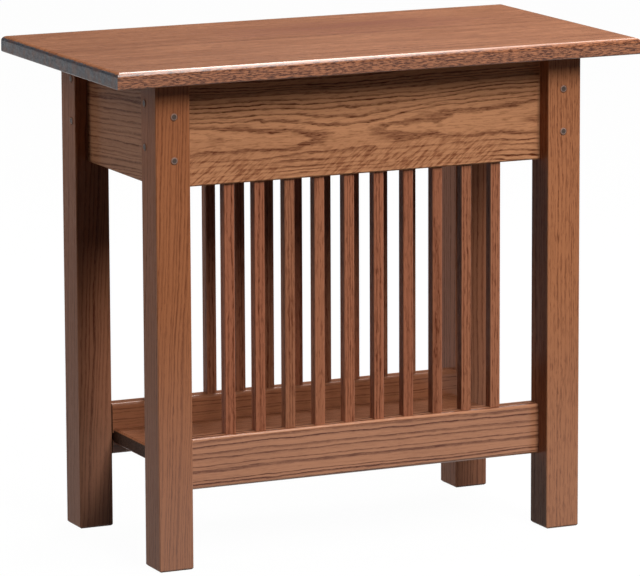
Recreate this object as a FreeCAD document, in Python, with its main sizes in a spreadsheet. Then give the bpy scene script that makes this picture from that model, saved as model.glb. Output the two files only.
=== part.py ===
import FreeCAD, Part
import os

import Sketcher

# Chairside table in stained oak: a rounded-over top on four square legs, aprons held by
# through pegs, and on each long side a lower rail, a row of square spindles and a shelf
# between the two rails. Millimetres, X along the table, Y to the back, Z up, floor at zero.

doc = FreeCAD.newDocument("ChairsideTable")
sheet = doc.addObject("Spreadsheet::Sheet", "Sizes")

DRIVING_SIZES = [
    ("table_height", 584, "floor to the upper face of the top"),
    ("top_length", 660, "table top along X"),
    ("top_width", 356, "table top along Y"),
    ("top_thickness", 19, "table top board thickness"),
    ("top_roundover", 6, "radius along the top's upper edge"),
    ("top_lower_ease", 2, "radius along the top's lower edge"),
    ("end_overhang", 60.5, "top past the legs at each narrow end"),
    ("side_overhang", 36.5, "top past the legs at each long side"),
    ("leg_side", 42, "side of the square leg"),
    ("leg_ease", 1, "bevel on the leg's long edges"),
    ("foot_chamfer", 2, "bevel round the foot"),
    ("apron_height", 125, "height of all four aprons"),
    ("apron_ease", 1.5, "bevel on the aprons' lower edges"),
    ("long_apron_thickness", 19, "front and rear apron thickness"),
    ("long_apron_reveal", 1, "leg's inner face past the long apron's inner face"),
    ("end_apron_thickness", 13, "left and right apron thickness"),
    ("end_apron_reveal", 13, "leg's inner face past the end apron's inner face"),
    ("peg_diameter", 9.5, "round pegs through the legs"),
    ("peg_grip", 32, "peg length inside an apron"),
    ("peg_proud", 0.8, "peg end standing out of the leg"),
    ("peg_bevel", 1.2, "bevel on a peg's outer end"),
    ("peg_top_distance", 27, "upper long-apron peg below the leg's top"),
    ("peg_bottom_distance", 35, "lower end-apron peg above the apron's lower edge"),
    ("peg_pass_gap", 3.5, "height between pegs that cross inside a leg"),
    ("peg_clearance", 0.1, "radial room round a peg"),
    ("peg_end_room", 1, "empty bore beyond a peg"),
    ("rail_floor_gap", 87.5, "floor to the lower rail"),
    ("rail_height", 60.5, "lower rail height"),
    ("rail_thickness", 22, "lower rail thickness"),
    ("rail_ease", 4, "radius on the rail's long edges"),
    ("rail_tenon_length", 20, "rail tenon inside the leg"),
    ("rail_tenon_thickness", 10, "rail tenon thickness"),
    ("rail_tenon_setback", 6, "rail's outer face to its tenon"),
    ("rail_tenon_shoulder", 10, "shoulder above and below the rail tenon"),
    ("tenon_clearance", 0.15, "room on each side of a tenon"),
    ("tenon_end_room", 0.5, "empty mortise beyond a tenon"),
    ("spindle_count", 10, "spindles in each long side"),
    ("spindle_side", 12.7, "side of the square spindle"),
    ("spindle_end_gap", 51, "leg to the nearest spindle, before the shift"),
    ("spindle_shift", 2, "row's middle off the table's middle, to the right seen from outside"),
    ("spindle_setback", 4.5, "rail's outer face to the spindle's outer face"),
    ("spindle_ease", 0.8, "bevel on the spindle's long edges"),
    ("spindle_tenon_side", 8, "side of the square spindle tenon"),
    ("spindle_tenon_length", 10, "spindle tenon in rail and apron"),
    ("shelf_thickness", 18, "shelf board thickness"),
    ("shelf_drop", 30, "rail's upper edge to the shelf's upper face"),
    ("shelf_tongue_length", 7, "shelf tongue inside each rail"),
    ("shelf_tongue_thickness", 9, "shelf tongue thickness"),
    ("shelf_tongue_drop", 5, "shelf's upper face to its tongue"),
    ("shelf_end_gap", 1.5, "leg's inner face to the shelf's end"),
    ("shelf_ease", 2, "bevel on the shelf's end edges"),
    ("button_count", 3, "top-holding buttons on each long apron"),
    ("button_end_distance", 78, "apron's end to the nearest button's centre"),
    ("button_width", 28, "button along the apron"),
    ("button_depth", 30, "button body out from the apron"),
    ("button_height", 18, "button body under the top"),
    ("button_tongue_length", 8, "tongue inside the apron's slot"),
    ("button_tongue_thickness", 7, "tongue thickness"),
    ("button_slot_drop", 8, "apron's upper edge to the tongue"),
    ("button_slot_play", 4, "room beside a tongue for the top to move"),
    ("button_clearance", 0.15, "room above and below a tongue"),
]

DERIVED_SIZES = [
    ("frame_length", "top_length - 2 * end_overhang"),
    ("frame_width", "top_width - 2 * side_overhang"),
    ("leg_length", "table_height - top_thickness"),
    ("apron_bottom", "leg_length - apron_height"),
    ("long_apron_length", "frame_length - 2 * leg_side"),
    ("end_apron_length", "frame_width - 2 * leg_side"),
    ("long_apron_setback", "leg_side - long_apron_reveal - long_apron_thickness"),
    ("long_apron_inset", "long_apron_setback + long_apron_thickness / 2"),
    ("end_apron_inset", "leg_side - end_apron_reveal - end_apron_thickness / 2"),
    ("peg_stagger", "peg_diameter + peg_pass_gap"),
    ("end_peg_distance", "peg_top_distance + peg_stagger"),
    ("peg_spacing", "apron_height - end_peg_distance - peg_bottom_distance"),
    ("peg_length", "peg_proud + leg_side + peg_grip"),
    ("peg_bore", "peg_diameter + 2 * peg_clearance"),
    ("peg_bore_depth", "peg_grip + peg_end_room"),
    ("rail_top", "rail_floor_gap + rail_height"),
    ("rail_inset", "long_apron_setback + rail_thickness / 2"),
    ("rail_tenon_height", "rail_height - 2 * rail_tenon_shoulder"),
    ("rail_mortise_width", "rail_tenon_thickness + 2 * tenon_clearance"),
    ("rail_mortise_height", "rail_tenon_height + 2 * tenon_clearance"),
    ("rail_mortise_depth", "rail_tenon_length + tenon_end_room"),
    ("spindle_inset", "long_apron_setback + spindle_setback + spindle_side / 2"),
    ("spindle_length", "apron_bottom - rail_top"),
    ("spindle_row", "long_apron_length - 2 * spindle_end_gap - spindle_side"),
    ("spindle_pitch", "spindle_row / (spindle_count - 1)"),
    ("spindle_mortise_side", "spindle_tenon_side + 2 * tenon_clearance"),
    ("spindle_mortise_depth", "spindle_tenon_length + tenon_end_room"),
    ("shelf_bottom", "rail_top - shelf_drop - shelf_thickness"),
    ("shelf_length", "long_apron_length - 2 * shelf_end_gap"),
    ("shelf_width", "frame_width - 2 * (long_apron_setback + rail_thickness)"),
    ("shelf_tongue_low", "shelf_thickness - shelf_tongue_drop - shelf_tongue_thickness"),
    ("shelf_groove_depth", "shelf_tongue_length + tenon_end_room"),
    ("shelf_groove_height", "shelf_tongue_thickness + 2 * tenon_clearance"),
    ("button_row", "long_apron_length - 2 * button_end_distance"),
    ("button_pitch", "button_row / (button_count - 1)"),
    ("button_inset", "long_apron_setback + long_apron_thickness + button_depth / 2"),
]

for row, (alias, value, note) in enumerate(DRIVING_SIZES, start=1):
    sheet.set(f"A{row}", note)
    sheet.set(f"B{row}", str(value))
    sheet.setAlias(f"B{row}", alias)
for row, (alias, formula) in enumerate(DERIVED_SIZES, start=1):
    sheet.set(f"D{row}", alias.replace("_", " "))
    sheet.set(f"E{row}", "=" + formula)
    sheet.setAlias(f"E{row}", alias)
doc.recompute()

ALIASES = [entry[0] for entry in DRIVING_SIZES + DERIVED_SIZES]
nodes = []


# Working with the sheet: bound() points the words of a formula at the sheet's cells


def bound(formula):
    words = formula.replace("(", " ( ").replace(")", " ) ").split()
    return " ".join("Sizes." + word if word in ALIASES else word for word in words)


def size_of(formula):
    return float(sheet.evalExpression(bound(formula)))


def bind(thing, **formulas):
    for name, formula in formulas.items():
        thing.setExpression(name, bound(formula))


def bind_base(thing, property_name, place):
    for axis, formula in zip("xyz", place):
        thing.setExpression(f"{property_name}.Base.{axis}", bound(formula))


# Shared ways of shaping a piece


def origin_feature(body, role):
    return next(feature for feature in body.Origin.OriginFeatures if feature.Role == role)


def new_body(label):
    body = doc.addObject("PartDesign::Body", label)
    body.Label = label
    body.AllowCompound = True
    nodes.append(body)
    return body


def new_sketch(body, name, role):
    sketch = body.newObject("Sketcher::SketchObject", name)
    sketch.AttachmentSupport = [(origin_feature(body, role), "")]
    sketch.MapMode = "FlatFace"
    return sketch


def outline(sketch, corners):
    """A closed outline of straight lines; each corner is tied to its two formulas."""
    points = [FreeCAD.Vector(size_of(across), size_of(along), 0) for across, along in corners]
    for start, end in zip(points, points[1:] + points[:1]):
        sketch.addGeometry(Part.LineSegment(start, end))
    for line, (across, along) in enumerate(corners):
        following = (line + 1) % len(corners)
        sketch.addConstraint(Sketcher.Constraint("Coincident", line, 2, following, 1))
        for kind, axis_line, formula in (("DistanceX", -2, across), ("DistanceY", -1, along)):
            if formula == "0":
                sketch.addConstraint(Sketcher.Constraint("PointOnObject", line, 1, axis_line))
                continue
            size = size_of(formula)
            index = sketch.addConstraint(Sketcher.Constraint(kind, -1, 1, line, 1, size))
            name = f"{kind}_{line}"
            sketch.renameConstraint(index, name)
            sketch.setExpression(f"Constraints.{name}", bound(formula))


def board(label, length, width, height):
    """A squared-up board, centred on its own origin and standing on its own XY plane."""
    body = new_body(label)
    sketch = new_sketch(body, label + "_section", "XY_Plane")
    corner = FreeCAD.Vector(size_of(length) / 2, size_of(width) / 2, 0)
    signs = ((-1, -1), (1, -1), (1, 1), (-1, 1))
    points = [FreeCAD.Vector(x * corner.x, y * corner.y, 0) for x, y in signs]
    for start, end in zip(points, points[1:] + points[:1]):
        sketch.addGeometry(Part.LineSegment(start, end))
    for line in range(4):
        direction = "Vertical" if line % 2 else "Horizontal"
        sketch.addConstraint(Sketcher.Constraint("Coincident", line, 2, (line + 1) % 4, 1))
        sketch.addConstraint(Sketcher.Constraint(direction, line))
    sketch.addConstraint(Sketcher.Constraint("Symmetric", 0, 1, 1, 2, -1, 1))
    sides = (("DistanceX", 0, "length", 2 * corner.x), ("DistanceY", 1, "width", 2 * corner.y))
    for kind, line, name, size in sides:
        index = sketch.addConstraint(Sketcher.Constraint(kind, line, 1, line, 2, size))
        sketch.renameConstraint(index, name)
    bind(sketch, **{"Constraints.length": length, "Constraints.width": width})
    pad = body.newObject("PartDesign::Pad", label + "_pad")
    pad.Profile = sketch
    bind(pad, Length=height)
    return body


def turned(label, corners):
    """A round piece: its half outline as radius and height, turned about its own Z axis."""
    body = new_body(label)
    sketch = new_sketch(body, label + "_half", "XZ_Plane")
    outline(sketch, corners)
    turn = body.newObject("PartDesign::Revolution", label + "_turned")
    turn.Profile = sketch
    turn.ReferenceAxis = (sketch, ["V_Axis"])
    turn.Angle = 360
    return body


def box(body, kind, name, low_corner, dimensions):
    """A box added to or cut from a piece, given by its low corner and its three sides."""
    feature = body.newObject(f"PartDesign::{kind}Box", name)
    feature.AttachmentSupport = [(origin_feature(body, "XY_Plane"), "")]
    feature.MapMode = "FlatFace"
    bind_base(feature, "AttachmentOffset", low_corner)
    length, width, height = dimensions
    bind(feature, Length=length, Width=width, Height=height)
    return feature


ALONG = {
    "x": FreeCAD.Rotation(FreeCAD.Vector(0, 1, 0), 90),
    "y": FreeCAD.Rotation(FreeCAD.Vector(1, 0, 0), -90),
}


def bore(body, name, axis, start, diameter, depth):
    """A round hole that starts at a point and runs along a positive axis of the piece."""
    feature = body.newObject("PartDesign::SubtractiveCylinder", name)
    feature.AttachmentSupport = [(origin_feature(body, "XY_Plane"), "")]
    feature.MapMode = "FlatFace"
    feature.AttachmentOffset = FreeCAD.Placement(FreeCAD.Vector(), ALONG[axis])
    bind_base(feature, "AttachmentOffset", start)
    bind(feature, Radius=f"{diameter} / 2", Height=depth)
    return feature


def repeat(body, feature, count, length, axis="X_Axis"):
    pattern = body.newObject("PartDesign::LinearPattern", feature.Name + "_row")
    pattern.Originals = [feature]
    pattern.Direction = (origin_feature(body, axis), [""])
    bind(pattern, Length=length, Occurrences=count)
    body.Tip = pattern


def dress(body, kind, name, amount, wanted):
    """Rounds or bevels those edges of a piece that the test wants."""
    doc.recompute()
    base = body.Tip
    picked = [
        f"Edge{number}" for number, edge in enumerate(base.Shape.Edges, start=1) if wanted(edge)
    ]
    feature = body.newObject(f"PartDesign::{kind}", name)
    feature.Base = (base, picked)
    bind(feature, **{"Radius" if kind == "Fillet" else "Size": amount})


SAME_PLACE = 0.001


def runs_along(edge, axis):
    across = [letter for letter in "XYZ" if letter != axis]
    return all(getattr(edge.BoundBox, letter + "Length") < SAME_PLACE for letter in across)


def lies_on_base(edge):
    return edge.BoundBox.ZMax < SAME_PLACE


def place(body, x, y, z, half_turn=False):
    """Sets a piece in the table; a half turn about Z makes the opposite side's piece."""
    body.Placement = FreeCAD.Placement(
        FreeCAD.Vector(), FreeCAD.Rotation(FreeCAD.Vector(0, 0, 1), 180 if half_turn else 0)
    )
    bind_base(body, "Placement", (x, y, z))


# Table top: two boards glued edge to edge, the outer edges rounded over


def top_board(label, half_turn):
    body = board(label, "top_length", "top_width / 2", "top_thickness")
    glued_edge = size_of("top_width / 4")
    middle_height = size_of("top_thickness / 2")

    def outer(edge):
        return not runs_along(edge, "Z") and abs(edge.CenterOfMass.y - glued_edge) > SAME_PLACE

    def upper(edge):
        return outer(edge) and edge.CenterOfMass.z > middle_height

    def lower(edge):
        return outer(edge) and lies_on_base(edge)

    dress(body, "Fillet", label + "_roundover", "top_roundover", upper)
    dress(body, "Fillet", label + "_lower_ease", "top_lower_ease", lower)
    side = "" if half_turn else "0 - "
    place(body, "0", f"{side}top_width / 4", "leg_length", half_turn)


top_board("top_front_board", False)
top_board("top_rear_board", True)


# Legs: square posts with eased edges, peg bores in two directions and a blind rail mortise.
# hand is 1 for the front left leg; the front right leg mirrors it, and each rear leg is the
# opposite front leg turned half round.


def leg(label, hand, half_turn):
    body = board(label, "leg_side", "leg_side", "leg_length")
    dress(body, "Chamfer", label + "_foot_bevel", "foot_chamfer", lies_on_base)
    dress(body, "Chamfer", label + "_ease", "leg_ease", lambda edge: runs_along(edge, "Z"))
    long_line = "long_apron_inset - leg_side / 2"
    end_line = f"{hand} * (end_apron_inset - leg_side / 2)"
    heights = ("0", "peg_spacing")
    for number, below in enumerate(heights, start=1):
        height = f"leg_length - peg_top_distance - {below}"
        start = ("0 - leg_side / 2", long_line, height)
        bore(body, f"{label}_long_peg_bore_{number}", "x", start, "peg_bore", "leg_side")
        height = f"leg_length - end_peg_distance - {below}"
        start = (end_line, "0 - leg_side / 2", height)
        bore(body, f"{label}_end_peg_bore_{number}", "y", start, "peg_bore", "leg_side")
    tenon_line = "long_apron_setback + rail_tenon_setback - tenon_clearance - leg_side / 2"
    box(
        body, "Subtractive", label + "_rail_mortise",
        (
            f"({hand} * (leg_side - rail_mortise_depth) - rail_mortise_depth) / 2",
            tenon_line,
            "rail_floor_gap + rail_tenon_shoulder - tenon_clearance",
        ),
        ("rail_mortise_depth", "rail_mortise_width", "rail_mortise_height"),
    )
    left = hand == 1 and not half_turn or hand == -1 and half_turn
    x_side = "0 - " if left else ""
    y_side = "" if half_turn else "0 - "
    x_place = f"{x_side}(frame_length - leg_side) / 2"
    y_place = f"{y_side}(frame_width - leg_side) / 2"
    place(body, x_place, y_place, "0", half_turn)


leg("front_left_leg", 1, False)
leg("front_right_leg", -1, False)
leg("rear_left_leg", -1, True)
leg("rear_right_leg", 1, True)


# Long aprons: boards between the legs with peg bores in their ends, mortises for the spindles
# along the lower edge and slots for the buttons in the inner face


def long_apron(label, half_turn):
    body = board(label, "long_apron_length", "long_apron_thickness", "apron_height")

    def lower(edge):
        return runs_along(edge, "X") and lies_on_base(edge)

    dress(body, "Chamfer", label + "_ease", "apron_ease", lower)
    half = "long_apron_length / 2"
    for number, below in enumerate(("0", "peg_spacing"), start=1):
        height = f"apron_height - peg_top_distance - {below}"
        for end, x_start in (("left", f"0 - {half}"), ("right", f"{half} - peg_bore_depth")):
            start = (x_start, "0", height)
            bore(body, f"{label}_{end}_bore_{number}", "x", start, "peg_bore", "peg_bore_depth")
    first_spindle = "spindle_shift - spindle_row / 2 - spindle_mortise_side / 2"
    mortise_line = "spindle_inset - long_apron_inset - spindle_mortise_side / 2"
    mortise = box(
        body, "Subtractive", label + "_spindle_mortise",
        (first_spindle, mortise_line, "0"),
        ("spindle_mortise_side", "spindle_mortise_side", "spindle_mortise_depth"),
    )
    repeat(body, mortise, "spindle_count", "spindle_row")
    slot_width = "(button_width + 2 * button_slot_play)"
    slot_depth = "(button_tongue_length + tenon_end_room)"
    slot_height = "button_tongue_thickness + 2 * button_clearance"
    slot = box(
        body, "Subtractive", label + "_button_slot",
        (
            f"0 - button_row / 2 - {slot_width} / 2",
            f"long_apron_thickness / 2 - {slot_depth}",
            "apron_height - button_slot_drop - button_tongue_thickness - button_clearance",
        ),
        (slot_width, slot_depth, slot_height),
    )
    repeat(body, slot, "button_count", "button_row")
    side = "" if half_turn else "0 - "
    place(body, "0", f"{side}(frame_width / 2 - long_apron_inset)", "apron_bottom", half_turn)


long_apron("front_apron", False)
long_apron("rear_apron", True)


# End aprons: shorter boards between front and rear legs, with peg bores in their ends


def end_apron(label, half_turn):
    body = board(label, "end_apron_thickness", "end_apron_length", "apron_height")

    def lower(edge):
        return runs_along(edge, "Y") and lies_on_base(edge)

    dress(body, "Chamfer", label + "_ease", "apron_ease", lower)
    half = "end_apron_length / 2"
    for number, below in enumerate(("0", "peg_spacing"), start=1):
        height = f"apron_height - end_peg_distance - {below}"
        for end, y_start in (("front", f"0 - {half}"), ("rear", f"{half} - peg_bore_depth")):
            start = ("0", y_start, height)
            bore(body, f"{label}_{end}_bore_{number}", "y", start, "peg_bore", "peg_bore_depth")
    side = "" if half_turn else "0 - "
    place(body, f"{side}(frame_length / 2 - end_apron_inset)", "0", "apron_bottom", half_turn)


end_apron("left_apron", False)
end_apron("right_apron", True)


# Pegs: pairs of dowels, bevelled at the outer end, driven from a leg's outer face through
# into an apron's end


def peg_pair(label, inward, x, y, distance):
    half_outline = [
        ("0", "0"),
        ("peg_diameter / 2 - peg_bevel", "0"),
        ("peg_diameter / 2", "peg_bevel"),
        ("peg_diameter / 2", "peg_length"),
        ("0", "peg_length"),
    ]
    body = turned(label, half_outline)
    repeat(body, body.Tip, "2", "peg_spacing")
    downward = FreeCAD.Vector(0, 0, -1)
    across = inward.cross(downward)
    turn = FreeCAD.Rotation(downward, across, inward, "ZXY")
    body.Placement = FreeCAD.Placement(FreeCAD.Vector(), turn)
    bind_base(body, "Placement", (x, y, f"leg_length - {distance}"))


for side_name, sign in (("front", -1), ("rear", 1)):
    for end_name, end_sign in (("left", -1), ("right", 1)):
        long_x = f"{end_sign} * (frame_length / 2 + peg_proud)"
        long_y = f"{sign} * (frame_width / 2 - long_apron_inset)"
        into_long = FreeCAD.Vector(-end_sign, 0, 0)
        peg_pair(f"{side_name}_apron_{end_name}_pegs", into_long, long_x, long_y, "peg_top_distance")
        end_x = f"{end_sign} * (frame_length / 2 - end_apron_inset)"
        end_y = f"{sign} * (frame_width / 2 + peg_proud)"
        into_end = FreeCAD.Vector(0, -sign, 0)
        peg_pair(f"{end_name}_apron_{side_name}_pegs", into_end, end_x, end_y, "end_peg_distance")


# Lower rails: eased boards tenoned into the legs, mortised for the spindles along the upper
# edge and grooved for the shelf along the inner face


def lower_rail(label, half_turn):
    body = board(label, "long_apron_length", "rail_thickness", "rail_height")
    dress(body, "Fillet", label + "_ease", "rail_ease", lambda edge: runs_along(edge, "X"))
    half = "long_apron_length / 2"
    tenon_low = "rail_tenon_setback - rail_thickness / 2"
    tenon_size = ("rail_tenon_length", "rail_tenon_thickness", "rail_tenon_height")
    for end, x_start in (("left", f"0 - {half} - rail_tenon_length"), ("right", half)):
        corner = (x_start, tenon_low, "rail_tenon_shoulder")
        box(body, "Additive", f"{label}_{end}_tenon", corner, tenon_size)
    groove_low = "shelf_bottom - rail_floor_gap + shelf_tongue_low - tenon_clearance"
    box(
        body, "Subtractive", label + "_shelf_groove",
        (f"0 - {half}", "rail_thickness / 2 - shelf_groove_depth", groove_low),
        ("long_apron_length", "shelf_groove_depth", "shelf_groove_height"),
    )
    first_spindle = "spindle_shift - spindle_row / 2 - spindle_mortise_side / 2"
    mortise_line = "spindle_inset - rail_inset - spindle_mortise_side / 2"
    mortise = box(
        body, "Subtractive", label + "_spindle_mortise",
        (first_spindle, mortise_line, "rail_height - spindle_mortise_depth"),
        ("spindle_mortise_side", "spindle_mortise_side", "spindle_mortise_depth"),
    )
    repeat(body, mortise, "spindle_count", "spindle_row")
    side = "" if half_turn else "0 - "
    place(body, "0", f"{side}(frame_width / 2 - rail_inset)", "rail_floor_gap", half_turn)


lower_rail("front_lower_rail", False)
lower_rail("rear_lower_rail", True)


# Spindles: square sticks with a shouldered tenon at each end


def spindle(label, number, side):
    body = board(label, "spindle_side", "spindle_side", "spindle_length")
    dress(body, "Chamfer", label + "_ease", "spindle_ease", lambda edge: runs_along(edge, "Z"))
    tenon_size = ("spindle_tenon_side", "spindle_tenon_side", "spindle_tenon_length")
    low = "0 - spindle_tenon_side / 2"
    for end, height in (("lower", "0 - spindle_tenon_length"), ("upper", "spindle_length")):
        box(body, "Additive", f"{label}_{end}_tenon", (low, low, height), tenon_size)
    along = f"{number} * spindle_pitch - spindle_row / 2 - {side} * spindle_shift"
    place(body, along, f"{side} * (frame_width / 2 - spindle_inset)", "rail_top")


for side_name, sign in (("front", -1), ("rear", 1)):
    for number in range(int(size_of("spindle_count"))):
        spindle(f"{side_name}_spindle_{number + 1:02d}", number, sign)


# Shelf: two boards glued edge to edge, each with a tongue in its rail's groove


def shelf_board(label, half_turn):
    body = board(label, "shelf_length", "shelf_width / 2", "shelf_thickness")
    dress(body, "Chamfer", label + "_ease", "shelf_ease", lambda edge: runs_along(edge, "Y"))
    box(
        body, "Additive", label + "_tongue",
        ("0 - shelf_length / 2", "0 - shelf_width / 4 - shelf_tongue_length", "shelf_tongue_low"),
        ("shelf_length", "shelf_tongue_length", "shelf_tongue_thickness"),
    )
    side = "" if half_turn else "0 - "
    place(body, "0", f"{side}shelf_width / 4", "shelf_bottom", half_turn)


shelf_board("shelf_front_board", False)
shelf_board("shelf_rear_board", True)


# Buttons: wooden blocks screwed up under the top, with a tongue in the long apron's slot


def button(label, number, half_turn):
    body = board(label, "button_width", "button_depth", "button_height")
    tongue_low = "button_height - button_slot_drop - button_tongue_thickness"
    box(
        body, "Additive", label + "_tongue",
        ("0 - button_width / 2", "0 - button_depth / 2 - button_tongue_length", tongue_low),
        ("button_width", "button_tongue_length", "button_tongue_thickness"),
    )
    turned_sign = "0 - " if half_turn else ""
    side = "" if half_turn else "0 - "
    place(
        body,
        f"{turned_sign}({number} * button_pitch - button_row / 2)",
        f"{side}(frame_width / 2 - button_inset)",
        "leg_length - button_height",
        half_turn,
    )


for side_name, half_turn in (("front", False), ("rear", True)):
    for number in range(int(size_of("button_count"))):
        button(f"{side_name}_top_button_{number + 1}", number, half_turn)


# Every piece is checked before any is written

doc.recompute()
for thing in doc.Objects:
    if "Invalid" in thing.State or "Error" in thing.State:
        raise RuntimeError(f"{thing.Label} failed: {thing.State}")
for body in nodes:
    if body.Shape.isNull() or not body.Shape.isValid():
        raise RuntimeError(f"{body.Label} has no valid shape")

os.makedirs("parts", exist_ok=True)
for body in nodes:
    body.Shape.exportStep(f"parts/{body.Label}.step")
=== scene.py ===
import math
import random

import bmesh
import bpy
from mathutils import Matrix, Vector


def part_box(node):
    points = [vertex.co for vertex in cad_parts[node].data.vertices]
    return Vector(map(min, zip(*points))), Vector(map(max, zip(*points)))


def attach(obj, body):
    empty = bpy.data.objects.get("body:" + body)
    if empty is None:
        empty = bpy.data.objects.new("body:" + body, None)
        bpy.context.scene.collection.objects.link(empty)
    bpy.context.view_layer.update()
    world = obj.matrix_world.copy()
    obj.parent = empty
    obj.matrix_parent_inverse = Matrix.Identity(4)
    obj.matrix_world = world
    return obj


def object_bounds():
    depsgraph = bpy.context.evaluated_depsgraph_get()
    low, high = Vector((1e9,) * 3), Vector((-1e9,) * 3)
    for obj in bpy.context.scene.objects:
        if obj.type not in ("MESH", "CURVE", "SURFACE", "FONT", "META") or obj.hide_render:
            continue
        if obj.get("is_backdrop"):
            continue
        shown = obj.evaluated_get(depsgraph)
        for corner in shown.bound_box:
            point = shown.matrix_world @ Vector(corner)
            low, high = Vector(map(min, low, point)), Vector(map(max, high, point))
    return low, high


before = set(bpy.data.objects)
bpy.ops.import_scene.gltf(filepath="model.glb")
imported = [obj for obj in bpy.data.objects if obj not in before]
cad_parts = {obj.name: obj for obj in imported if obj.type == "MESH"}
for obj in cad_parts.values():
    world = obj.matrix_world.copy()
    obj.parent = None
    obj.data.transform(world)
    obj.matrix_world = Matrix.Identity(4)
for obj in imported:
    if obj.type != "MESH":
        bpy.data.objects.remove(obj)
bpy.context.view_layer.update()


# Legs
# Four square posts of oak, sawn and planed along the grain, the long edges eased with a plane.
# They are stained brown and varnished satin: the stain gathers in the open pores of the early
# wood and is rubbed thinner along the edges. Towards the feet they are painted paler: painted floor
# light.


def add(tree, kind, inputs=(), output=0, **settings):
    """Adds a node, feeds its inputs in order and hands back one of its outputs."""
    node = tree.nodes.new("ShaderNode" + kind)
    for name, value in settings.items():
        setattr(node, name, value)
    for socket, value in zip(node.inputs, inputs):
        if isinstance(value, bpy.types.NodeSocket):
            tree.links.new(value, socket)
        elif value is not None:
            socket.default_value = value
    return node.outputs[output]


def reckon(tree, operation, *values):
    """Arithmetic on numbers."""
    return add(tree, "Math", values, operation=operation)


def reckon_place(tree, operation, *values):
    """Arithmetic on places, each coordinate by itself."""
    return add(tree, "VectorMath", values, operation=operation)


def cloud(tree, place, stretch, detail=2.0, roughness=0.5, output=0):
    """Soft noise whose grains are 1 / stretch metres long in each direction."""
    stretched = reckon_place(tree, "MULTIPLY", place, stretch)
    return add(tree, "TexNoise", (stretched, None, 1.0, detail, roughness), output)


def step(tree, value, start, end, low=0.0, high=1.0):
    """A smooth step from low to high while the value goes from start to end."""
    return add(tree, "MapRange", (value, start, end, low, high), interpolation_type="SMOOTHSTEP")


def blend(tree, share, first, second, how="MIX"):
    """Goes from the first colour to the second as the share goes from 0 to 1."""
    inputs = (share, None, None, None, None, None, first, second)
    return add(tree, "Mix", inputs, output=2, data_type="RGBA", blend_type=how)


def split_place(tree, place):
    """The X, Y and Z of a place or a direction."""
    node = tree.nodes.new("ShaderNodeSeparateXYZ")
    tree.links.new(place, node.inputs[0])
    return node.outputs


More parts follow.
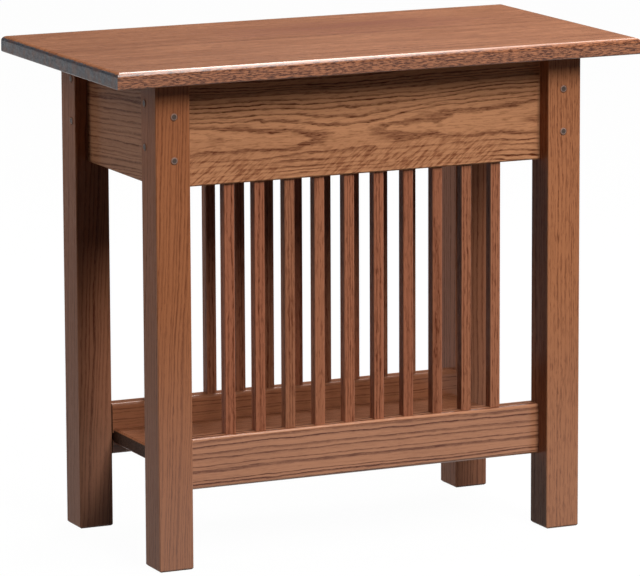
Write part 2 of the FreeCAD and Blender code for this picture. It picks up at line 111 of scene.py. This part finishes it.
def oak_figure():
    """The figure of flat or rift sawn oak, as a group that every oak piece uses.

    Log is a place in the log: X along the grain, the pith on the X axis, in metres.
    """
    tree = bpy.data.node_groups.new("oak_figure", "ShaderNodeTree")
    takes = (
        ("Place", "NodeSocketVector"), ("Log", "NodeSocketVector"),
        ("Ring width", "NodeSocketFloat"), ("Wander", "NodeSocketFloat"),
        ("Arch", "NodeSocketFloat"), ("Arch middle", "NodeSocketFloat"),
        ("Early wood", "NodeSocketFloat"), ("Dashes", "NodeSocketFloat"),
        ("Pale", "NodeSocketColor"), ("Deep", "NodeSocketColor"),
        ("Middle", "NodeSocketVector"), ("Half", "NodeSocketVector"),
        ("Wear", "NodeSocketFloat"),
    )
    for name, kind in takes:
        tree.interface.new_socket(name, in_out="INPUT", socket_type=kind)
    gives = (
        ("Colour", "NodeSocketColor"), ("Roughness", "NodeSocketFloat"),
        ("Height", "NodeSocketFloat"),
    )
    for name, kind in gives:
        tree.interface.new_socket(name, in_out="OUTPUT", socket_type=kind)
    given = tree.nodes.new("NodeGroupInput").outputs
    made = tree.nodes.new("NodeGroupOutput").inputs

    # The log isn't straight: a slow drift of each board's own size, and a quick shiver.
    slow = (7.0, 28.0, 28.0)
    quick = (55.0, 110.0, 110.0)
    shiver_size = (0.0014, 0.0014, 0.0014)
    noise_middle = 0.5
    no_shift = (noise_middle, noise_middle, noise_middle)
    drift = cloud(tree, given["Log"], slow, detail=4.0, output=1)
    drift = reckon_place(tree, "SUBTRACT", drift, no_shift)
    drift = reckon_place(tree, "MULTIPLY", drift, given["Wander"])
    shiver = cloud(tree, given["Log"], quick, detail=2.0, output=1)
    shiver = reckon_place(tree, "SUBTRACT", shiver, no_shift)
    shiver = reckon_place(tree, "MULTIPLY", shiver, shiver_size)
    wandering = reckon_place(tree, "ADD", given["Log"], drift)
    wandering = reckon_place(tree, "ADD", wandering, shiver)
    along, aside, deep = split_place(tree, wandering)

    # The distance from the pith, which runs bent where the board shows arches.
    bend = 0.02
    from_middle = reckon(tree, "SUBTRACT", along, given["Arch middle"])
    soft = reckon(tree, "SQRT", reckon(tree, "MULTIPLY_ADD", from_middle, from_middle, bend * bend))
    arched = reckon(tree, "MULTIPLY_ADD", soft, given["Arch"], deep)
    across = add(tree, "CombineXYZ", (0.0, aside, arched))
    ring_distance = add(tree, "VectorMath", (across,), output=1, operation="LENGTH")

    # Yearly rings of uneven width: porous early wood that fades into dense late wood.
    growth_swings_per_metre = 90.0
    growth = add(
        tree, "TexNoise", (None, ring_distance, growth_swings_per_metre, 1.0), noise_dimensions="1D")
    rings = reckon(tree, "DIVIDE", ring_distance, given["Ring width"])
    rings = reckon(tree, "MULTIPLY_ADD", growth, 2.2, rings)
    part_of_ring = reckon(tree, "FRACT", rings)
    year = reckon(tree, "FLOOR", rings)
    strong_year = add(tree, "TexWhiteNoise", (None, year), noise_dimensions="1D")
    strong_year = reckon(tree, "MULTIPLY_ADD", strong_year, 0.55, 0.45)
    fading = step(tree, part_of_ring, 0.1, 0.48, 1.0, 0.0)
    starting = step(tree, part_of_ring, 0.9, 1.0)
    early = reckon(tree, "MAXIMUM", fading, starting)
    early = reckon(tree, "MULTIPLY", early, strong_year)

    # Pores, stain dashes, fibres and larger patches, each drawn out along the log.
    long_pore = (45.0, 620.0, 620.0)
    short_pore = (150.0, 1500.0, 1500.0)
    one_dash = (70.0, 480.0, 480.0)
    one_fibre = (7.0, 520.0, 520.0)
    one_patch = (3.0, 16.0, 16.0)
    long_pores = step(tree, cloud(tree, wandering, long_pore, 1.0), 0.46, 0.6)
    short_pores = step(tree, cloud(tree, wandering, short_pore, 1.0), 0.46, 0.62)
    in_early = reckon(tree, "MULTIPLY_ADD", early, 0.8, 0.2)
    pores = reckon(tree, "MULTIPLY", reckon(tree, "MAXIMUM", long_pores, short_pores), in_early)
    dashes = step(tree, cloud(tree, wandering, one_dash, 2.0, 0.6), 0.5, 0.66)
    dashes = reckon(tree, "MULTIPLY", dashes, given["Dashes"])
    fibre = cloud(tree, wandering, one_fibre, 3.0, 0.6)
    fibre = reckon(tree, "SUBTRACT", fibre, noise_middle)
    patch = cloud(tree, given["Log"], one_patch, 2.0)
    patch = reckon(tree, "SUBTRACT", patch, noise_middle)

    # The more stain a spot holds, the nearer its colour is to the deep one.
    stain = reckon(tree, "MULTIPLY", early, given["Early wood"])
    stain = reckon(tree, "MULTIPLY_ADD", pores, 0.4, stain)
    stain = reckon(tree, "MULTIPLY_ADD", fibre, 0.7, stain)
    stain = reckon(tree, "MULTIPLY_ADD", patch, 0.5, stain)
    stain = reckon(tree, "ADD", stain, dashes)
    stain = add(tree, "Clamp", (stain, 0.0, 1.0))
    colour = blend(tree, stain, given["Pale"], given["Deep"])

    # Wear along the edges: the second smallest distance to the faces of the piece's box.
    off = reckon_place(tree, "SUBTRACT", given["Place"], given["Middle"])
    off = add(tree, "VectorMath", (off,), operation="ABSOLUTE")
    inside = reckon_place(tree, "SUBTRACT", given["Half"], off)
    one, two, three = split_place(tree, inside)
    least = reckon(tree, "MINIMUM", reckon(tree, "MINIMUM", one, two), three)
    most = reckon(tree, "MAXIMUM", reckon(tree, "MAXIMUM", one, two), three)
    total = reckon(tree, "ADD", reckon(tree, "ADD", one, two), three)
    to_edge = reckon(tree, "SUBTRACT", reckon(tree, "SUBTRACT", total, least), most)
    uneven_by = 0.003
    bare_within = 0.0012
    whole_beyond = 0.0045
    uneven = cloud(tree, given["Place"], (60.0, 60.0, 60.0), 3.0)
    to_edge = reckon(tree, "MULTIPLY_ADD", uneven, uneven_by, to_edge)
    worn = step(tree, to_edge, bare_within, whole_beyond, 1.0, 0.0)
    worn = reckon(tree, "MULTIPLY", worn, given["Wear"])
    paler_by = (1.35, 1.45, 1.5, 1.0)
    rubbed = blend(tree, 1.0, given["Pale"], paler_by, "MULTIPLY")
    colour = blend(tree, worn, colour, rubbed)
    tree.links.new(colour, made["Colour"])

    # Pores are rougher and lie deeper, and rubbed edges are smoother.
    rough = reckon(tree, "MULTIPLY_ADD", pores, 0.16, 0.46)
    rough = reckon(tree, "MULTIPLY_ADD", fibre, 0.12, rough)
    rough = reckon(tree, "MULTIPLY_ADD", worn, -0.06, rough)
    tree.links.new(rough, made["Roughness"])
    height = reckon(tree, "MULTIPLY_ADD", early, -0.35, 1.0)
    height = reckon(tree, "MULTIPLY_ADD", pores, -0.8, height)
    height = reckon(tree, "MULTIPLY_ADD", fibre, 0.25, height)
    tree.links.new(height, made["Height"])
    return tree


OAK_FIGURE = oak_figure()

# Turns in degrees that lay a board's log along X.
ALONG_X = (90.0, 0.0, 0.0)
ALONG_X_FLAT = (0.0, 0.0, 0.0)
ALONG_Y = (0.0, 0.0, -90.0)
ALONG_Y_LEANING = (3.5, 0.0, -90.0)
ALONG_Z = (0.0, 90.0, 0.0)
ALONG_Z_LEANING = (0.0, 87.5, 0.0)


def new_material(name):
    """An empty node material and its tree."""
    material = bpy.data.materials.new(name)
    material.use_nodes = True
    material.node_tree.nodes.clear()
    return material, material.node_tree


def surface_of(tree, colour, roughness, height, bump_strength, bump_depth):
    """Ends a material in a shader with colour, roughness and relief, and hands back the shader."""
    shader = tree.nodes.new("ShaderNodeBsdfPrincipled")
    tree.links.new(colour, shader.inputs["Base Color"])
    tree.links.new(roughness, shader.inputs["Roughness"])
    bump = tree.nodes.new("ShaderNodeBump")
    bump.inputs["Strength"].default_value = bump_strength
    bump.inputs["Distance"].default_value = bump_depth
    tree.links.new(height, bump.inputs["Height"])
    tree.links.new(bump.outputs[0], shader.inputs["Normal"])
    surface = tree.nodes.new("ShaderNodeOutputMaterial")
    tree.links.new(shader.outputs[0], surface.inputs[0])
    return shader


def box_of(piece):
    """The middle of a piece's box and half its size."""
    low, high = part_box(piece)
    middle = [(a + b) / 2 for a, b in zip(low, high)]
    half = [(b - a) / 2 for a, b in zip(low, high)]
    return middle, half


def stained_oak(piece, turn, heart, ring_width=0.004, wander=0.006, arch=0.0, arch_middle=0.0,
                early_wood=0.7, dashes=0.3, pale=(0.42, 0.195, 0.10), deep=(0.085, 0.018, 0.006),
                wear=0.35, coat=0.07, ends=(0.035, 0.020, 0.015), ends_from=0.88, scuff=0.0):
    """Stained oak for one piece.

    turn lays its log along X, heart is a place on the log's pith, and the surface counts as end
    grain where it faces along the log by more than about ends_from.
    """
    material, tree = new_material(piece)
    place = add(tree, "TexCoord", output=3)
    turn = [math.radians(angle) for angle in turn]
    from_heart = reckon_place(tree, "SUBTRACT", place, heart)
    log = add(tree, "Mapping", (from_heart, None, turn))
    middle, half = box_of(piece)
    figure = tree.nodes.new("ShaderNodeGroup")
    figure.node_tree = OAK_FIGURE
    values = {
        "Ring width": ring_width, "Wander": wander, "Arch": arch, "Arch middle": arch_middle,
        "Early wood": early_wood, "Dashes": dashes, "Pale": (*pale, 1.0), "Deep": (*deep, 1.0),
        "Middle": middle, "Half": half, "Wear": wear,
    }
    for name, value in values.items():
        figure.inputs[name].default_value = value
    tree.links.new(place, figure.inputs["Place"])
    tree.links.new(log, figure.inputs["Log"])

    # End grain, dark and mottled, begins where the surface turns across the log.
    facing = add(tree, "Mapping", (add(tree, "NewGeometry", output=1), None, turn))
    lengthwise = split_place(tree, facing)[0]
    ragged = cloud(tree, place, (60.0, 300.0, 300.0), 2.0)
    ragged = reckon(tree, "MULTIPLY_ADD", ragged, 1.0 - ends_from, ends_from - 0.5)
    outward = reckon(tree, "ABSOLUTE", lengthwise)
    sawn_across = step(tree, reckon(tree, "SUBTRACT", outward, ragged), 0.4, 0.5)
    open_ends = step(tree, cloud(tree, place, (450.0, 450.0, 450.0), 3.0, 0.6), 0.35, 0.7)
    between_pores = [2.5 * shade for shade in ends]
    end_grain = blend(tree, open_ends, (*between_pores, 1.0), (*ends, 1.0))
    colour = blend(tree, sawn_across, figure.outputs["Colour"], end_grain)

    # Painted light from the floor: the colour is painted paler near the floor and fades out upwards.
    scuffed_up_to = 0.34
    scuffed = (0.55, 0.46, 0.42, 1.0)
    near_floor = step(tree, split_place(tree, place)[2], 0.0, scuffed_up_to, scuff, 0.0)
    colour = blend(tree, near_floor, colour, scuffed)
    shader = surface_of(
        tree, colour, figure.outputs["Roughness"], figure.outputs["Height"], 0.5, 0.0004)
    shader.inputs["Specular IOR Level"].default_value = 0.06
    shader.inputs["Coat Weight"].default_value = coat
    shader.inputs["Coat Roughness"].default_value = 0.2
    return material


def dress(piece, material):
    """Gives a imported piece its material; the piece itself stays as it is."""
    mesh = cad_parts[piece].data
    mesh.materials.clear()
    mesh.materials.append(material)


def dress_in_oak(piece, turn, heart, **looks):
    """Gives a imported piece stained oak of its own."""
    dress(piece, stained_oak(piece, turn, heart, **looks))


dress_in_oak(
    "front_left_leg", ALONG_Z_LEANING, heart=(-0.360, -0.060, 0.0), ring_width=0.0031,
    wander=0.006, early_wood=0.42, dashes=0.16, pale=(0.320, 0.117, 0.049),
    deep=(0.13, 0.036, 0.014), scuff=0.14)
dress_in_oak(
    "front_right_leg", ALONG_Z, heart=(0.400, -0.050, 3.1), ring_width=0.0032, wander=0.006,
    early_wood=0.2, dashes=0.32, pale=(0.365, 0.145, 0.066), scuff=0.09)
# Its pale colour is set darker than the front legs': painted shade for the shadow it stands in.
dress_in_oak(
    "rear_left_leg", ALONG_Z_LEANING, heart=(-0.330, 0.190, 0.3), ring_width=0.0034,
    early_wood=0.42, dashes=0.1, pale=(0.305, 0.123, 0.062), scuff=0.08)
dress_in_oak(
    "rear_right_leg", ALONG_Z, heart=(0.300, 0.060, 9.2), ring_width=0.0036, early_wood=0.4,
    dashes=0.12, pale=(0.30, 0.119, 0.060), scuff=0.05)


# End aprons
# Two plain oak boards between the front and rear legs under the top, set back from the legs'
# outer faces and held by pegs driven through the legs into their ends.

dress_in_oak(
    "left_apron", ALONG_Y_LEANING, heart=(-0.200, 0.0, 0.600), ring_width=0.0056, wander=0.010,
    early_wood=0.6, dashes=0.12, deep=(0.13, 0.040, 0.018))
dress_in_oak(
    "right_apron", ALONG_Y, heart=(0.190, 15.0, 0.480), ring_width=0.0036, wander=0.008)


# Long aprons
# The two wide oak boards on the long sides, flat sawn, so that the front one shows two pointed
# arches of early wood that meet near its middle, over a feathered lower edge. Pegs through the
# legs hold their ends.


def opened(material):
    """A finished material's tree, its shader and the colour that goes into it."""
    tree = material.node_tree
    shader = next(node for node in tree.nodes if node.type == "BSDF_PRINCIPLED")
    return tree, shader, shader.inputs["Base Color"].links[0].from_socket


def feather(piece, material):
    """Short slanting flecks along a board's lower edge, where the saw ran out of the grain."""
    tree, shader, colour = opened(material)
    slant = math.radians(36.0)
    one_fleck = (60.0, 60.0, 380.0)
    pale_fleck = (0.47, 0.218, 0.108, 1.0)
    dark_fleck = (0.19, 0.060, 0.025, 1.0)
    lower_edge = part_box(piece)[0][2]
    thick_up_to = lower_edge + 0.012
    gone_above = lower_edge + 0.050
    place = add(tree, "TexCoord", output=3)
    slanting = add(tree, "Mapping", (place, None, (0.0, slant, 0.0)))
    flecks = step(tree, cloud(tree, slanting, one_fleck, 3.0, 0.6), 0.42, 0.62)
    upright = split_place(tree, place)[2]
    near_edge = step(tree, upright, thick_up_to, gone_above, 0.75, 0.0)
    here_and_there = step(tree, cloud(tree, place, (7.0, 7.0, 7.0), 2.0), 0.40, 0.58)
    feathered = reckon(tree, "MULTIPLY", near_edge, here_and_there)
    fleck_colour = blend(tree, flecks, pale_fleck, dark_fleck)
    colour = blend(tree, feathered, colour, fleck_colour)
    tree.links.new(colour, shader.inputs["Base Color"])
    return material


arched_oak = stained_oak(
    "front_apron", ALONG_X, heart=(0.0, -0.058, 0.4885), ring_width=0.003, wander=0.009,
    arch=0.0142, arch_middle=-0.025, early_wood=0.7, pale=(0.50, 0.236, 0.118), coat=0.03)
dress("front_apron", feather("front_apron", arched_oak))
dress_in_oak(
    "rear_apron", ALONG_X, heart=(18.0, 0.055, 0.510), ring_width=0.0032, wander=0.006,
    arch=-0.012, arch_middle=-18.1, early_wood=0.7)


# Pegs
# Pairs of round oak pegs driven through each leg into the ends of the aprons and trimmed just
# proud of the leg. Their end grain takes the stain dark; the paler ring at the bevel is a painted
# highlight.


def peg_oak(piece, axis):
    """Dark end grain with a painted highlight ring at the bevel; axis is the peg's own direction, 0
    for X or 1 for Y.
    """
    core_colour = (0.080, 0.056, 0.047, 1.0)
    pore_colour = (0.034, 0.024, 0.020, 1.0)
    year_colour = (0.10, 0.07, 0.058, 1.0)
    painted_highlight_colour = (0.28, 0.180, 0.145, 1.0)
    rim_colour = (0.27, 0.105, 0.05, 1.0)
    material, tree = new_material(piece)
    place = add(tree, "TexCoord", output=3)
    middle, half = box_of(piece)
    radius = half[1 - axis]
    spread = half[2] - radius
    off_middle = split_place(tree, reckon_place(tree, "SUBTRACT", place, middle))
    aside = off_middle[1 - axis]
    upright = reckon(tree, "SUBTRACT", reckon(tree, "ABSOLUTE", off_middle[2]), spread)
    off_axis = add(tree, "CombineXYZ", (aside, upright, 0.0))
    from_axis = add(tree, "VectorMath", (off_axis,), output=1, operation="LENGTH")
    out = reckon(tree, "DIVIDE", from_axis, radius)
    pores = step(tree, cloud(tree, place, (900.0, 900.0, 900.0), 2.0), 0.45, 0.7)
    years = add(tree, "TexWave", (place, 260.0, 3.0, 2.0), output=1, bands_direction="DIAGONAL")
    core = blend(tree, pores, core_colour, pore_colour)
    core = blend(tree, reckon(tree, "MULTIPLY", years, 0.4), core, year_colour)
    # A paler ring at the bevel: a painted highlight.
    painted_highlight_ring = step(tree, out, 0.48, 0.7)
    colour = blend(tree, painted_highlight_ring, core, painted_highlight_colour)
    rim = step(tree, out, 0.74, 0.9)
    colour = blend(tree, rim, colour, rim_colour)
    roughness = reckon(tree, "MULTIPLY_ADD", pores, 0.15, 0.38)
    shader = surface_of(tree, colour, roughness, pores, 0.4, 0.0003)
    shader.inputs["Specular IOR Level"].default_value = 0.15
    return material


for side in ("front", "rear"):
    for end in ("left", "right"):
        long_pegs = f"{side}_apron_{end}_pegs"
        dress(long_pegs, peg_oak(long_pegs, 0))
        end_pegs = f"{end}_apron_{side}_pegs"
        dress(end_pegs, peg_oak(end_pegs, 1))


# Lower rails
# Two oak rails low on the long sides, tenoned into the legs, their long edges rounded. Rift
# sawn, with even dark lines along their length.

dress_in_oak(
    "front_lower_rail", ALONG_X, heart=(21.0, -0.060, 0.226), ring_width=0.0060, wander=0.007,
    early_wood=0.85, dashes=0.12, pale=(0.42, 0.190, 0.103), deep=(0.085, 0.019, 0.007), coat=0.65)
dress_in_oak(
    "rear_lower_rail", ALONG_X, heart=(24.0, 0.060, 0.200), ring_width=0.005, wander=0.005,
    early_wood=0.4, dashes=0.15, pale=(0.30, 0.117, 0.057), deep=(0.11, 0.033, 0.014), coat=0.4)


# Spindles
# Ten square oak sticks in each long side, tenoned into the rail below and the apron above.
# Each is ripped from another board, so the tone and the lines differ from stick to stick; the rear
# row is painted darker as painted shade.

pick = random.Random(7)
SPINDLES_IN_A_SIDE = 10
# The rear row's colour is painted darker by this share: painted shade behind the front row and
# apron.
REAR_PAINTED_SHADE = 0.85
for side in ("front", "rear"):
    for number in range(1, SPINDLES_IN_A_SIDE + 1):
        piece = f"{side}_spindle_{number:02d}"
        low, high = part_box(piece)
        angle = pick.uniform(0.0, 2.0 * math.pi)
        away = pick.uniform(0.03, 0.10)
        tone_and_painted_shade = pick.uniform(0.85, 1.1) * (REAR_PAINTED_SHADE if side == "rear" else 1.0)
        red = pick.uniform(0.92, 1.05)
        pale = (0.31 * tone_and_painted_shade, 0.120 * tone_and_painted_shade * red, 0.063 * tone_and_painted_shade * red)
        heart = (low[0] + away * math.cos(angle), low[1] + away * math.sin(angle), 30.0 + number)
        dress_in_oak(
            piece, ALONG_Z, heart, ring_width=pick.uniform(0.003, 0.0045), early_wood=0.4,
            dashes=0.4, pale=pale)


# Shelf
# Two oak boards glued edge to edge, their long edges in grooves of the lower rails. The open
# ends show dark end grain.

shelf_hearts = {
    "shelf_front_board": (45.0, -0.070, 0.020),
    "shelf_rear_board": (48.0, 0.110, 0.060),
}
for piece, heart in shelf_hearts.items():
    dress_in_oak(
        piece, ALONG_X_FLAT, heart, ring_width=0.004, early_wood=0.4, pale=(0.285, 0.110, 0.052),
        deep=(0.12, 0.036, 0.016))


# Table top
# Two wide oak boards glued edge to edge, the upper edge rounded over and the lower one eased.
# It has more coats of varnish than the frame, and its end grain is darker. The rear board has a
# redder, darker patch of heartwood right of its middle.


def top_oak(piece, heart):
    """Stained oak whose sawn edges took more stain: reddish along the sides, dark at the ends with a
    slate blue tint that is a painted cool reflection.
    """
    heartwood_colour = (0.19, 0.062, 0.034, 1.0)
    streak_colour = (0.19, 0.066, 0.026, 1.0)
    side_colour = (0.315, 0.120, 0.054, 1.0)
    cut_pore_colour = (0.068, 0.017, 0.006, 1.0)
    varnish = 0.9
    # The end grain is dark, and its slate blue tint is a painted cool reflection.
    material = stained_oak(
        piece, ALONG_X_FLAT, heart, ring_width=0.004, wander=0.008, early_wood=0.58, dashes=0.4,
        pale=(0.36, 0.152, 0.073), deep=(0.12, 0.035, 0.015), wear=0.1, coat=varnish,
        ends=(0.050, 0.054, 0.065), ends_from=0.62)
    tree, shader, colour = opened(material)
    place = add(tree, "TexCoord", output=3)

    # The patch of heartwood is drawn out and frayed along the grain.
    patch_middle = (0.070, 0.072, 0.584)
    patch_shape = (5.5, 16.0, 0.0)
    away = reckon_place(tree, "SUBTRACT", place, patch_middle)
    away = reckon_place(tree, "MULTIPLY", away, patch_shape)
    away = add(tree, "VectorMath", (away,), output=1, operation="LENGTH")
    streaks = cloud(tree, place, (9.0, 70.0, 70.0), 3.0)
    away = reckon(tree, "MULTIPLY_ADD", streaks, 2.6, away)
    heartwood = step(tree, away, 1.3, 2.5, 0.75, 0.0)
    colour = blend(tree, heartwood, colour, heartwood_colour)
    colour = blend(tree, step(tree, streaks, 0.38, 0.66, 0.0, 0.5), colour, streak_colour)

    # The long sides show rows of short cut pores.
    facing = split_place(tree, add(tree, "NewGeometry", output=1))
    side = step(tree, reckon(tree, "ABSOLUTE", facing[1]), 0.45, 0.85)
    cut_pores = step(tree, cloud(tree, place, (130.0, 900.0, 900.0), 3.0, 0.7), 0.43, 0.58)
    side_wood = blend(tree, cut_pores, side_colour, cut_pore_colour)
    colour = blend(tree, side, colour, side_wood)
    tree.links.new(colour, shader.inputs["Base Color"])
    shader.inputs["Coat Roughness"].default_value = 0.22

    # The open end grain drinks some of the varnish, unevenly.
    end = step(tree, reckon(tree, "ABSOLUTE", facing[0]), 0.5, 0.9)
    soaked = step(tree, cloud(tree, place, (60.0, 130.0, 260.0), 3.0, 0.6), 0.3, 0.7, 0.4, 0.7)
    soaked = reckon(tree, "MULTIPLY", end, soaked)
    tree.links.new(reckon(tree, "SUBTRACT", varnish, soaked), shader.inputs["Coat Weight"])
    return material


dress("top_front_board", top_oak("top_front_board", heart=(51.0, -0.260, 0.500)))
dress("top_rear_board", top_oak("top_rear_board", heart=(54.0, 0.300, 0.480)))


# Buttons
# Small blocks of bare oak under the top, three along each long apron, with a tongue in a slot
# of the apron so that the top can move with the seasons.

BUTTONS_IN_A_SIDE = 3
for side in ("front", "rear"):
    for number in range(1, BUTTONS_IN_A_SIDE + 1):
        piece = f"{side}_top_button_{number}"
        low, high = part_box(piece)
        heart = (low[0] - 0.03, 60.0 + number, high[2] + 0.05)
        dress_in_oak(
            piece, ALONG_Y, heart, ring_width=0.003, early_wood=0.35, pale=(0.62, 0.44, 0.27),
            deep=(0.34, 0.20, 0.10), wear=0.1, coat=0.0)


# Button screws
# Round-headed slotted steel screws, one up through each button into the top. Zinc plated, a
# little dull.


def screw_steel():
    """Dull plated steel with fine marks of turning."""
    material, tree = new_material("screw_steel")
    place = add(tree, "TexCoord", output=3)
    turned_lines = cloud(tree, place, (3000.0, 3000.0, 400.0), 2.0)
    dull = cloud(tree, place, (400.0, 400.0, 400.0), 2.0)
    bright_zinc = (0.62, 0.61, 0.57, 1.0)
    dull_zinc = (0.38, 0.37, 0.34, 1.0)
    colour = blend(tree, dull, bright_zinc, dull_zinc)
    roughness = step(tree, turned_lines, 0.3, 0.7, 0.28, 0.5)
    shader = surface_of(tree, colour, roughness, turned_lines, 0.2, 0.0001)
    shader.inputs["Metallic"].default_value = 1.0
    return material


def dome(shape, radius, rise):
    """A low dome under a flat disc: the closed blank of a screw head."""
    rounds = 32
    levels = 6
    turns = [2 * math.pi * index / rounds for index in range(rounds)]
    rows = []
    for level in range(levels):
        lean = level / levels * math.pi / 2
        out = radius * math.cos(lean)
        down = -rise * math.sin(lean)
        rows.append([
            shape.verts.new((out * math.cos(a), out * math.sin(a), down)) for a in turns])
    tip = shape.verts.new((0.0, 0.0, -rise))
    for upper, lower in zip(rows, rows[1:]):
        for index in range(rounds):
            following = (index + 1) % rounds
            shape.faces.new((upper[index], upper[following], lower[following], lower[index]))
    for index in range(rounds):
        shape.faces.new((rows[-1][index], rows[-1][(index + 1) % rounds], tip))
    shape.faces.new(reversed(rows[0]))


def cut(shape, x, keep):
    """Cuts a blank across at x, keeps the side that keep points to and closes the cut."""
    everything = shape.verts[:] + shape.edges[:] + shape.faces[:]
    made = bmesh.ops.bisect_plane(
        shape, geom=everything, plane_co=(x, 0.0, 0.0), plane_no=(keep, 0.0, 0.0), clear_inner=True)
    edges = [item for item in made["geom_cut"] if isinstance(item, bmesh.types.BMEdge)]
    bmesh.ops.holes_fill(shape, edges=edges)


def screw_head(name, place, turn):
    """A domed head with a sawn slot, hanging down from the button's lower face."""
    radius = 0.004
    rise = 0.0024
    floor_rise = rise * 0.45
    half_slot = 0.0005
    under_cheeks = half_slot + 0.0001
    one_cheek = ((half_slot, 1.0),)
    other_cheek = ((-half_slot, -1.0),)
    slot_floor = ((-under_cheeks, 1.0), (under_cheeks, -1.0))
    mesh = bpy.data.meshes.new(name)
    whole = bmesh.new()
    for cuts, height in (one_cheek, rise), (other_cheek, rise), (slot_floor, floor_rise):
        blank = bmesh.new()
        dome(blank, radius, height)
        for x, keep in cuts:
            cut(blank, x, keep)
        bmesh.ops.recalc_face_normals(blank, faces=blank.faces)
        blank.to_mesh(mesh)
        blank.free()
        whole.from_mesh(mesh)
    whole.to_mesh(mesh)
    whole.free()
    head = bpy.data.objects.new(name, mesh)
    bpy.context.collection.objects.link(head)
    head.matrix_world = Matrix.Translation(place) @ Matrix.Rotation(turn, 4, "Z")
    return head


STEEL = screw_steel()
SCREW_FROM_END = 0.015
for side in ("front", "rear"):
    for number in range(1, BUTTONS_IN_A_SIDE + 1):
        low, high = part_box(f"{side}_top_button_{number}")
        inner = high[1] - SCREW_FROM_END if side == "front" else low[1] + SCREW_FROM_END
        place = Vector(((low[0] + high[0]) / 2, inner, low[2]))
        head = screw_head(f"{side}_button_screw_{number}", place, pick.uniform(0.0, math.pi))
        head.data.materials.append(STEEL)
        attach(head, "root")


# Floor and light
# A wide plain pale floor, lit by a broad soft lamp in front, a long narrow one above and weak
# ones at the left and behind. What the camera sees of the floor is white, with the table's
# shadow on it.

floor_radius = 60.0
rounds = 64
floor_shape = bmesh.new()
turns = [2 * math.pi * index / rounds for index in range(rounds)]
floor_shape.faces.new([
    floor_shape.verts.new((floor_radius * math.cos(a), floor_radius * math.sin(a), 0.0))
    for a in turns])
floor_mesh = bpy.data.meshes.new("studio_floor")
floor_shape.to_mesh(floor_mesh)
floor_shape.free()
floor = bpy.data.objects.new("studio_floor", floor_mesh)
bpy.context.collection.objects.link(floor)
floor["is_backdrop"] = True

paper, tree = new_material("pale_paper")
sight = tree.nodes.new("ShaderNodeLightPath").outputs
seen = reckon(tree, "ADD", sight["Is Camera Ray"], sight["Is Glossy Ray"])
seen = reckon(tree, "ADD", seen, sight["Is Transmission Ray"])
seen = add(tree, "Clamp", (seen, 0.0, 1.0))
fleck = cloud(tree, add(tree, "TexCoord", output=3), (30.0, 30.0, 30.0), 3.0)
white = blend(tree, fleck, (0.90, 0.90, 0.90, 1.0), (0.86, 0.86, 0.86, 1.0))
shaded = add(tree, "BsdfDiffuse", (white,))
glow = add(tree, "Emission", ((1.0, 1.0, 1.0, 1.0), 1.0))
white_share = 0.975
show = add(tree, "MixShader", (white_share, shaded, glow))
dim = add(tree, "BsdfDiffuse", ((0.05, 0.05, 0.05, 1.0),))
surface = tree.nodes.new("ShaderNodeOutputMaterial")
tree.links.new(add(tree, "MixShader", (seen, dim, show)), surface.inputs[0])
floor_mesh.materials.append(paper)


def soft_lamp(name, place, aim, width, height, watts, colour):
    """A lamp behind a rectangle of cloth, turned towards aim."""
    lamp = bpy.data.lights.new(name, "AREA")
    lamp.shape = "RECTANGLE"
    lamp.size = width
    lamp.size_y = height
    lamp.energy = watts
    lamp.color = colour
    stand = bpy.data.objects.new(name, lamp)
    bpy.context.collection.objects.link(stand)
    stand.location = place
    stand.rotation_euler = (Vector(aim) - Vector(place)).to_track_quat("-Z", "Y").to_euler()


soft_lamp(
    "front_lamp", place=(0.5, -5.0, 4.0), aim=(0.0, 0.0, 0.35), width=1.4, height=2.7,
    watts=285.0, colour=(1.0, 0.97, 0.93))
soft_lamp(
    "upper_lamp", place=(0.56, -0.5, 2.03), aim=(0.56, -0.5, 0.0), width=0.56, height=4.0,
    watts=82.0, colour=(1.0, 0.98, 0.97))
soft_lamp(
    "left_lamp", place=(-3.4, 1.7, 2.2), aim=(0.0, 0.0, 0.4), width=1.8, height=2.6,
    watts=62.0, colour=(1.0, 0.97, 0.95))
soft_lamp(
    "rear_lamp", place=(2.6, 3.2, 4.9), aim=(0.0, 0.0, 0.35), width=2.4, height=1.6,
    watts=105.0, colour=(1.0, 0.98, 0.96))

world = bpy.data.worlds.new("studio")
bpy.context.scene.world = world
world.use_nodes = True
world.node_tree.nodes["Background"].inputs[0].default_value = (0.016, 0.016, 0.018, 1.0)
bpy.context.scene.view_settings.view_transform = "Standard"


# Camera
# A long lens a good way off, a little above the table top and to the left of its front, with
# the slight roll and the small shift of the photograph's framing.

sight_line = bpy.data.cameras.new("camera")
sight_line.sensor_width = 36.0
sight_line.lens = 273.27
sight_line.shift_x = 0.02845
sight_line.shift_y = -0.01258
sight_line.clip_end = 200.0
camera = bpy.data.objects.new("camera", sight_line)
bpy.context.collection.objects.link(camera)
camera.location = (-2.3708, -5.1100, 1.3402)
looking = Vector((0.4102, 0.8935, -0.1824)).to_track_quat("-Z", "Y")
roll = math.radians(-0.277)
camera.rotation_euler = (looking.to_matrix() @ Matrix.Rotation(roll, 3, "Z")).to_euler()
bpy.context.scene.camera = camera

low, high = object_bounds()
